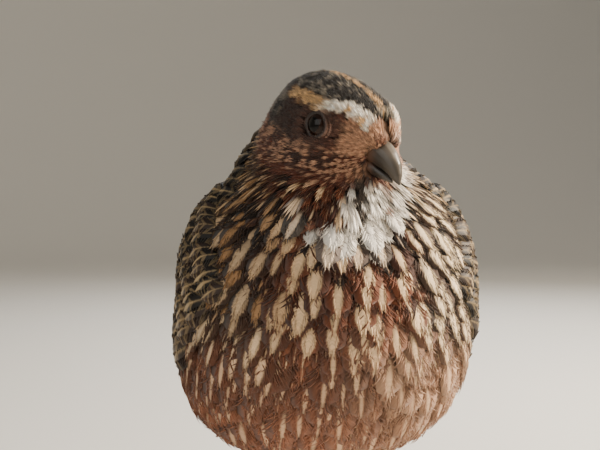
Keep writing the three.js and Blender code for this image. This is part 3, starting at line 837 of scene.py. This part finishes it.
# wing and tail feathers: broad vanes with barbs along both edges
def vaneFeather(width, barbs, tipShare, camber, draw):
    strips = []
    rows = []
    for k in range(9):
        along = k / 8
        half = width / 2 * (0.32 + 0.68 * smoothstep(along, 0, 0.22))
        rows.append((along, half * (1 - smoothstep(along, tipShare, 1.04) ** 1.5)))
    points, triangles = [], []
    shares = (-1, -0.5, 0, 0.5, 1)
    for along, half in rows:
        for face in (1, -1):
            for share in shares:
                thick = (0.010 + 0.012 * (1 - abs(share))) if face > 0 else -0.004
                points.append((along, half * share, thick - camber * share * share * half))
    wide = len(shares)
    for row in range(len(rows) - 1):
        top, low = row * wide * 2, row * wide * 2 + wide
        for k in range(wide - 1):
            a, b = top + k, top + wide * 2 + k
            triangles += [(a, b, b + 1), (a, b + 1, a + 1)]
            a, b = low + k, low + wide * 2 + k
            triangles += [(a, b + 1, b), (a, a + 1, b + 1)]
        for k, flip in ((0, True), (wide - 1, False)):
            a, b = top + k, low + k
            c, d = a + wide * 2, b + wide * 2
            triangles += [(a, b, d), (a, d, c)] if flip else [(a, d, b), (a, c, d)]
    for row, flip in ((0, False), (len(rows) - 1, True)):
        top, low = row * wide * 2, row * wide * 2 + wide
        for k in range(wide - 1):
            quad = (top + k, top + k + 1, low + k + 1, low + k)
            quad = quad[::-1] if flip else quad
            triangles += [(quad[0], quad[1], quad[2]), (quad[0], quad[2], quad[3])]
    strips.append((np.array(points), np.array(triangles)))
    for side in (-1, 1):
        for k in range(barbs):
            share = (k + draw.uniform(0.3, 0.7)) / barbs
            start = 0.1 + 0.84 * share
            half = float(np.interp(start, [r[0] for r in rows], [r[1] for r in rows]))
            reach = draw.uniform(0.9, 1.25)
            strips.append(
                lockStrip(
                    (start - 0.07, side * half * 0.45, 0.012),
                    (start + 0.05 * reach, side * (half * 1.04 + 0.006), -camber * half * 1.1 + 0.006),
                    side * -0.006,
                    0.016,
                    0.012,
                )
            )
    rachis = [(-0.02, 0, 0.014, 0.03, 0.0), (0.3, 0, 0.011, 0.034, 0.0), (0.7, 0, 0.007, 0.028, 0.0)]
    strips.append(bladeStrip(rachis + [(0.93, 0, 0, 0, 0.014)]))
    return joinStrips(strips)


# the trunk's surface by how far back and how far round from the spine, and the way up from it
def onTrunk(side, back, roundDegrees):
    turn = math.radians(roundDegrees) * side
    start = trunkMiddle + trunkBack * back + trunkUp * stance["axisDrop"]
    ray = sideways * math.sin(turn) + trunkUp * math.cos(turn)
    hit = outerTree.ray_cast(Vector(start + ray * 90), Vector(-ray))[0]
    hit = start + ray * 20 if hit is None else np.array(hit)
    return hit, ray


# rows: how many, first and last root (back, round), where they point, lengths, width share, heights
wingRows = {
    "primaries": (9, (4, 99), (11, 84), (64, 50), (54, 64), 0.15, (0.6, 1.2), "flight"),
    "secondaries": (11, (0, 104), (3, 72), (88, 50), (38, 52), 0.25, (1.2, 2.2), "flight"),
    "greaterCoverts": (13, (-12, 106), (-10, 58), (98, 50), (19, 23), 0.46, (2.2, 3.2), "covert"),
    "tertials": (5, (-6, 66), (-9, 48), (52, 30), (44, 37), 0.32, (2.6, 3.6), "tertial"),
    "medianCoverts": (13, (-21, 103), (-20, 56), (96, 52), (14, 16), 0.52, (3.0, 3.8), "covert"),
    "lesserCoverts": (13, (-28, 102), (-27, 52), (94, 54), (11.5, 13), 0.56, (3.0, 3.8), "covert"),
    "marginalCoverts": (12, (-34, 98), (-33, 50), (92, 56), (9.5, 11), 0.58, (2.6, 3.4), "covert"),
    "upperScapulars": (10, (-31, 54), (-26, 16), (60, 26), (19, 22), 0.42, (2.4, 2.9), "scapular"),
    "lowerScapulars": (9, (-20, 52), (-12, 16), (66, 22), (27, 32), 0.34, (2.2, 2.7), "scapular"),
    "mantle": (8, (-36, 50), (-34, 10), (60, 20), (13, 15), 0.5, (2.0, 2.4), "scapular"),
}

# what each kind of feather looks like: margin, streak, streak width, bars, dark blotches
wingLooks = {
    "flight": ("#43362c", "#a68a66", 0.0, 0.7, 0.2),
    "covert": ("#3b2d26", "#b0976f", 0.05, 0.75, 0.35),
    "tertial": ("#35281f", "#ad9066", 0.03, 0.8, 0.4),
    "scapular": ("#30241b", "#bfa57b", 0.045, 0.5, 0.5),
    "vent": ("#b89a78", "#e6d6ba", 0.12, 0.15, 0),
}


# a vane runs on straight once the body is this far from it, or it is this far back
pastBody = {"gap": 2.5, "behind": 38}


def layVanes(name, spines, facings, lengths, looks, template, stoodFor=()):
    points, faces, bake, own = layFeathers(template, spines, facings, lengths, spines[:, 0])
    mesh = meshOf(
        name, points, faces,
        uvs={"OFBake": bake, "Feather": own},
        colours={layer: np.repeat(tonesOf, len(template[0]), axis=0) for layer, tonesOf in looks.items()},
    )
    return addPiece(name, mesh, vaneMaterial, stoodFor)


def looksOf(kind, count, draw):
    margin, streak, width, bars, blotch = wingLooks[kind]
    margin = np.tile(colourOf(margin), (count, 1)) * draw.uniform(0.8, 1.2, (count, 1))
    dark = draw.random(count) < blotch
    margin[dark] = palette["black"] * 1.4
    streak = np.tile(colourOf(streak), (count, 1)) * draw.uniform(0.85, 1.1, (count, 1))
    widths = width * draw.uniform(0.3, 1.6, count)
    marks = np.column_stack([widths, np.full(count, bars), draw.random(count), draw.random(count)])
    return {"margin": margin, "streak": streak, "marks": marks}


def makeWings():
    for sideName, side in (("right", -1), ("left", 1)):
        draw = np.random.default_rng(17 + side)
        for row, (count, first, last, aim, sizes, width, heights, kind) in wingRows.items():
            steps = 6
            spines = np.empty((count, steps + 1, 3))
            facings = np.empty((count, steps + 1, 3))
            lengths = np.empty(count)
            for k in range(count):
                share = k / (count - 1)
                back = lerp(first[0], last[0], share) + draw.uniform(-0.6, 0.6)
                turn = lerp(first[1], last[1], share) + draw.uniform(-1, 1)
                root, up = onTrunk(side, back, turn)
                goal = onTrunk(side, aim[0], lerp(aim[1] + 12, aim[1] - 8, share))[0]
                heading = unit(goal - root)
                lengths[k] = lerp(sizes[0], sizes[1], share) * draw.uniform(0.95, 1.05)
                spot, face = root.copy(), up
                level = lerp(heights[0], heights[1], share) + (k % 2) * 0.25
                for step in range(steps + 1):
                    along = step / steps
                    rise = lerp(-0.6, level, smoothstep(along, 0, 0.3)) - 0.3 * along * along * level
                    spines[k, step] = spot + face * rise
                    facings[k, step] = face
                    ahead = unit(heading - face * float(heading @ face))
                    reached = spot + ahead * lengths[k] / steps
                    near, normal, _, distance = outerTree.find_nearest(Vector(reached))
                    if distance > pastBody["gap"] or reached[1] > pastBody["behind"]:
                        spot = reached
                    else:
                        spot = np.array(near)
                        face = unit(lerp(face, np.array(normal), 0.5))
            barbs = 22 if sizes[0] > 30 else 15
            template = vaneFeather(width, barbs, 0.72 if sizes[0] > 30 else 0.5, 0.3, draw)
            looks = looksOf(kind, count, draw)
            stoodFor = ("wing_" + sideName,) if row == "primaries" else ()
            piece = row + "_" + sideName
            layVanes(piece, spines, facings, lengths, looks, template, stoodFor)


def makeTail():
    draw = np.random.default_rng(29)
    rows = {
        "tailFeathers": (12, 60, -3.4, 37, 0.22, 17, 6.5, "flight"),
        "upperTailCoverts": (10, 54, -0.4, 26, 0.36, 15, 7.5, "tertial"),
        "rumpFeathers": (9, 46, 2.4, 22, 0.4, 13, 8, "scapular"),
        "underTailCoverts": (9, 52, -9.5, 26, 0.38, 14, 7, "vent"),
    }
    for row, (count, back, rise, length, width, spread, half, kind) in rows.items():
        steps = 5
        spines = np.empty((count, steps + 1, 3))
        facings = np.empty((count, steps + 1, 3))
        below = -1 if row == "underTailCoverts" else 1
        for k in range(count):
            share = k / (count - 1) * 2 - 1
            yaw = math.radians(spread * share)
            lay = (1 - abs(share)) * 1.6 * below
            ahead = trunkBack * math.cos(yaw) + sideways * math.sin(yaw)
            start = trunkMiddle + trunkBack * back + trunkUp * (rise + lay - 1.8 * share * share * below)
            start = start + sideways * half * share
            for step in range(steps + 1):
                along = step / steps
                spines[k, step] = start + ahead * length * along - trunkUp * 2.4 * along * along
                facings[k, step] = unit((trunkUp + sideways * share * 0.5 * below) * below)
        lengths = np.full(count, float(length)) * (1 - 0.12 * np.abs(np.linspace(-1, 1, count)))
        template = vaneFeather(width, 20, 0.75, 0.25, draw)
        looks = looksOf(kind, count, draw)
        stoodFor = ("tail",) if row == "tailFeathers" else ()
        layVanes(row, spines, facings, lengths, looks, template, stoodFor)


vaneMaterial = featherMaterial("stiffVane", roughness=0.55, barbScale=90.0)
makeWings()
makeTail()
print("wings and tail")


# horn, skin and eye: what lies in the open
def hornMaterial():
    material, tree, shader = newMaterial("billHorn", 0.36)
    grain = noiseOf(tree, objectSpot(tree), 260.0, 5.0, 0.6)
    tree.links.new(remap(tree, grain, 0.3, 0.7, 0.28, 0.5), shader.inputs["Roughness"])
    light = remap(tree, grain, 0.25, 0.75, 0.75, 1.2)
    dress(tree, shader, paintedColour(tree, "shade"), light, grain, 0.25, 0.0001)
    return material


def skinLikeMaterial(name, roughness, scale, depth):
    material, tree, shader = newMaterial(name, roughness)
    shader.inputs["Subsurface Weight"].default_value = 0.08
    shader.inputs["Subsurface Radius"].default_value = (0.002, 0.001, 0.0006)
    cells = addNode(tree, "ShaderNodeTexVoronoi", {"Scale": scale}, {"Vector": objectSpot(tree)})
    cells = cells.outputs["Distance"]
    light = remap(tree, cells, 0.0, 0.6, 1.12, 0.7)
    dress(tree, shader, paintedColour(tree, "shade"), light, cells, 0.6, depth, True)
    return material


def addShaded(name, points, triangles, shade, material, stoodFor=()):
    mesh = meshOf(name, points, triangles, {"OFBake": skinUnwrap(points)}, {"shade": shade})
    return addPiece(name, mesh, material, stoodFor)


def refined(name, source, voxel, smoothing):
    return finishedMesh(name, joinedCopy([source]), [
        ("REMESH", {"mode": "VOXEL", "voxel_size": voxel * mm, "use_smooth_shade": True}),
        ("SMOOTH", {"factor": 0.5, "iterations": smoothing}),
    ])


billMaterial = hornMaterial()
bareSkin = skinLikeMaterial("bareSkin", 0.5, 2600.0, 0.00012)
scaleSkin = skinLikeMaterial("scaledSkin", 0.5, 1100.0, 0.0002)


# colours of the horn: darker along the base and pale at the tip, with a painted highlight along the upper
# ridge towards its end and painted shade along the line where the two halves meet
def makeBill():
    for half, node in (("upper", "bill_upper"), ("lower", "bill_lower")):
        made = refined(node, node, 0.2, 6)
        points, normals, triangles = arraysOf(made)
        if half == "lower":
            # the closed bill: the lower half sits up under the upper one's edge
            points = points + normals * 0.2 + headTurn @ np.array((0, 0, 0.3))
        head = inHead(points)
        along = smoothstep(-head[:, 1], 14, 24)
        shade = lerp(colourOf("#241e1b"), colourOf("#4b443c"), along[:, None])
        # painted highlight: the upper half lighter along the top of its ridge, more so towards the tip
        paintedRidgeHighlight = smoothstep(head[:, 2] + 0.5 * (-head[:, 1] - 14) * 0.45, 1.6, 3.4) * (half == "upper")
        shade = lerp(shade, colourOf("#857a6e"), (0.4 * paintedRidgeHighlight)[:, None])
        # painted shade: both halves darker along the line where they meet
        paintedJoinShade = smoothstep(-np.abs(head[:, 2] + 1.9 + 0.21 * (-head[:, 1] - 14)), -0.9, -0.2)
        shade = shade * (1 - 0.4 * paintedJoinShade)[:, None]
        base = 1 - smoothstep(-head[:, 1], 13.5, 18.5)
        shade = lerp(shade, colourOf("#94705c"), (0.7 * base)[:, None])
        addShaded("billHorn_" + half, points, triangles, shade, billMaterial, (node,))


def pieceFromBmesh(name, shape, shadeOf, material, stoodFor=()):
    bmesh.ops.triangulate(shape, faces=shape.faces)
    bmesh.ops.recalc_face_normals(shape, faces=shape.faces)
    points = np.array([vert.co for vert in shape.verts])
    shape.verts.index_update()
    triangles = np.array([[vert.index for vert in face.verts] for face in shape.faces])
    shape.free()
    return addShaded(name, points, triangles, shadeOf(points), material, stoodFor)


# the soft corner of the gape on each side
def makeGapeCorners():
    shape = bmesh.new()
    for side in (-1, 1):
        softLump(shape, (side * 3.3, -13.6, -1.3), (0.9, 3.0, 0.55), (-10, 0, side * 20))
    pieceFromBmesh("gapeCorners", shape, lambda points: np.tile(colourOf("#8a5f4c"), (len(points), 1)),
                   bareSkin)


eyeLook = {
    "radius": 4.2, "axis": (0.985, -0.13, 0.1), "iris": 2.75, "pupil": 1.75,
    "corneaFrom": 0.78, "corneaRise": 1.3,
}


def eyeMaterial():
    material, tree, shader = newMaterial("wetEye", 0.04)
    shader.inputs["IOR"].default_value = 1.3
    shade = addNode(tree, "ShaderNodeAttribute", {"attribute_name": "shade"})
    tree.links.new(shade.outputs["Color"], shader.inputs["Base Color"])
    return material


def makeEyes():
    material = eyeMaterial()
    for sideName, side in (("right", -1), ("left", 1)):
        centre = middleOf("eye_" + sideName)
        axis = np.array((eyeLook["axis"][0] * side, eyeLook["axis"][1], eyeLook["axis"][2]))
        axis = headTurn @ unit(axis)
        shape = bmesh.new()
        bmesh.ops.create_uvsphere(shape, u_segments=64, v_segments=48, radius=eyeLook["radius"])
        turn = Vector(axis).to_track_quat("Z", "Y").to_matrix()
        for vert in shape.verts:
            # the cornea stands a little proud of the ball
            out = max(0.0, vert.co.z / eyeLook["radius"] - eyeLook["corneaFrom"])
            spot = turn @ vert.co
            vert.co = spot + Vector(axis) * (out * eyeLook["corneaRise"]) + Vector(centre)

        def shadeOf(points, centre=centre, axis=axis):
            away = points - centre
            reach = np.linalg.norm(away - np.outer(away @ axis, axis), axis=1)
            iris = colourOf("#24140c") * (0.75 + 0.5 * random.random((len(points), 1)))
            shade = np.tile(colourOf("#080605"), (len(points), 1))
            ring = smoothstep(reach, eyeLook["pupil"] - 0.25, eyeLook["pupil"] + 0.2)
            ring = ring * (1 - smoothstep(reach, eyeLook["iris"] - 0.1, eyeLook["iris"] + 0.4))
            return lerp(shade, iris, ring[:, None])

        pieceFromBmesh("eyeball_" + sideName, shape, shadeOf, material, ("eye_" + sideName,))
        makeLids(sideName, side, centre, axis)


# lids: a ring of bare skin with fine folds, drawn to a slight almond, and an outer fold round it. Each has
# its radius, half its width, its height and how far back it lies
lidLook = {"rise": 3.1, "folds": ((3.2, 0.62, 0.5, 0.0), (4.0, 0.42, 0.36, 0.6)), "rings": 120, "spins": 14}


def makeLids(sideName, side, centre, axis):
    front = headTurn @ np.array((0, -1.0, -0.05))
    across = unit(front - axis * float(front @ axis))
    rise = np.cross(across, axis) * side
    rise = rise if rise[2] > 0 else -rise
    rings, spins = lidLook["rings"], lidLook["spins"]
    turn = (np.arange(rings) / rings * 2 * math.pi)[:, None, None]
    spin = (np.arange(spins) / spins * 2 * math.pi)[None, :, None]
    almond = 0.95 + 0.03 * np.cos(turn) + 0.04 * np.cos(4 * turn)
    outwards = across * np.cos(turn) + rise * np.sin(turn) * 0.95
    points = []
    for ring, (radius, half, high, back) in enumerate(lidLook["folds"]):
        fold = 1 + 0.10 * np.sin(turn * (23 + 8 * ring)) + 0.05 * np.sin(turn * 41 + 1)
        middle = centre + axis * (lidLook["rise"] - back) + outwards * radius * almond
        spots = middle + outwards * np.cos(spin) * half + axis * np.sin(spin) * high * fold
        points.append(spots.reshape(-1, 3))
    points = np.vstack(points)
    here = np.arange(rings * spins).reshape(rings, spins)
    beside = np.roll(here, -1, axis=1)
    ahead = np.roll(here, -1, axis=0)
    quads = [(here, beside, np.roll(beside, -1, axis=0)), (here, np.roll(beside, -1, axis=0), ahead)]
    ringFaces = np.vstack([np.stack(quad, axis=-1).reshape(-1, 3) for quad in quads])
    triangles = np.vstack([ringFaces, ringFaces + rings * spins])
    corners = points[triangles]
    volume = np.sum(corners[:, 0] * np.cross(corners[:, 1], corners[:, 2]))
    triangles = triangles[:, ::-1] if volume < 0 else triangles
    ringMiddle = centre + axis * lidLook["rise"]
    inner = smoothstep(np.linalg.norm(points - ringMiddle, axis=1), 3.0, 4.2)[:, None]
    shade = lerp(colourOf("#2c1f1a"), colourOf("#8a6553"), inner)
    addShaded("lids_" + sideName, points, triangles, shade, bareSkin)


# scutes: how far apart, where the shank ends and the toes begin, and how high they stand
scutes = {"apart": 1.7, "shankFrom": 4.5, "footBelow": 2.5, "rise": 0.13, "sunk": 0.08}


def makeLegs():
    for sideName in ("right", "left"):
        node = "leg_" + sideName
        made = refined(node, node, 0.34, 8)
        points, normals, triangles = arraysOf(made)
        # scutes: shallow steps down the shank and across the toes
        height = points[:, 2]
        foot = points[height < scutes["footBelow"]].mean(axis=0)
        reach = np.hypot(points[:, 0] - foot[0], points[:, 1] - foot[1])
        along = np.where(height > scutes["shankFrom"], height, reach)
        step = np.abs((along / scutes["apart"]) % 1 - 0.5) * 2
        swell = scutes["rise"] * smoothstep(step, 0.1, 0.45) - scutes["sunk"]
        swell *= smoothstep(height, 0.4, 1.2)
        points = points + normals * swell[:, None]
        points[:, 2] = np.maximum(points[:, 2], 0)
        shade = colourOf("#b07f66") * (0.72 + 0.36 * smoothstep(step, 0.05, 0.4))[:, None]
        addShaded("scaledLeg_" + sideName, points, triangles, shade, scaleSkin, (node,))
        for toe in ("inner", "middle", "outer", "hind"):
            node = f"claw_{sideName}_{toe}"
            made = finishedMesh(node, joinedCopy([node]), [("SUBSURF", {"levels": 2, "render_levels": 2})])
            points, _, triangles = arraysOf(made)
            points[:, 2] = np.maximum(points[:, 2], 0)
            shade = colourOf("#5a4438") * (0.7 + 0.6 * smoothstep(points[:, 2], 0, 1.6))[:, None]
            addShaded("horn_" + node, points, triangles, shade, billMaterial, (node,))


makeBill()
makeGapeCorners()
makeEyes()
makeLegs()
print("bill, eyes and legs")


# floor and light
def makeStudio():
    material, tree, shader = newMaterial("paleBoard", 0.6)
    shader.inputs["Base Color"].default_value = (*toLinear("#d9d7d2"), 1)
    fleck = noiseOf(tree, objectSpot(tree), 6.0, 3.0)
    tree.links.new(remap(tree, fleck, 0.0, 1.0, 0.55, 0.65), shader.inputs["Roughness"])
    shape = bmesh.new()
    profile = [(0.0, 0.0), (0.9, 0.0)]
    for step in range(1, 13):
        turn = step / 12 * math.pi / 2
        profile.append((0.9 + 0.6 * math.sin(turn), 0.6 - 0.6 * math.cos(turn)))
    profile.append((1.5, 1.3))
    spots = [shape.verts.new((x, 0, z)) for x, z in profile]
    edges = [shape.edges.new(pair) for pair in zip(spots, spots[1:])]
    turned = {"cent": (0, 0, 0), "axis": (0, 0, 1), "angle": 2 * math.pi, "steps": 96}
    bmesh.ops.spin(shape, geom=spots + edges, use_merge=True, **turned)
    bmesh.ops.remove_doubles(shape, verts=shape.verts, dist=0.00001)
    bmesh.ops.recalc_face_normals(shape, faces=shape.faces)
    for face in shape.faces:
        face.smooth = True
    mesh = bpy.data.meshes.new("floor")
    shape.to_mesh(mesh)
    shape.free()
    mesh.materials.append(material)
    floor = bpy.data.objects.new("floor", mesh)
    scene.collection.objects.link(floor)
    world = bpy.data.worlds.new("studio")
    scene.world = world
    world.use_nodes = True
    world.node_tree.nodes["Background"].inputs[0].default_value = (*toLinear("#d0cfcc"), 1)
    world.node_tree.nodes["Background"].inputs[1].default_value = 0.32
    lights = {
        "key": {"at": (470, -90, 400), "size": 0.16, "power": 11.5, "colour": "#fff0da"},
        "fill": {"at": (-420, -460, 380), "size": 0.5, "power": 1.7, "colour": "#f0eee9"},
        "rim": {"at": (150, 420, 380), "size": 0.4, "power": 2.0, "colour": "#ffffff"},
    }
    for name, light in lights.items():
        data = bpy.data.lights.new(name, "AREA")
        data.size = light["size"]
        data.energy = light["power"]
        data.color = toLinear(light["colour"])
        lamp = bpy.data.objects.new(name, data)
        scene.collection.objects.link(lamp)
        lamp.location = Vector(light["at"]) * mm
        lamp.visible_camera = False
        towards = Vector((0, -20, 70)) * mm - lamp.location
        lamp.rotation_euler = towards.to_track_quat("-Z", "Y").to_euler()


makeStudio()
print("studio")
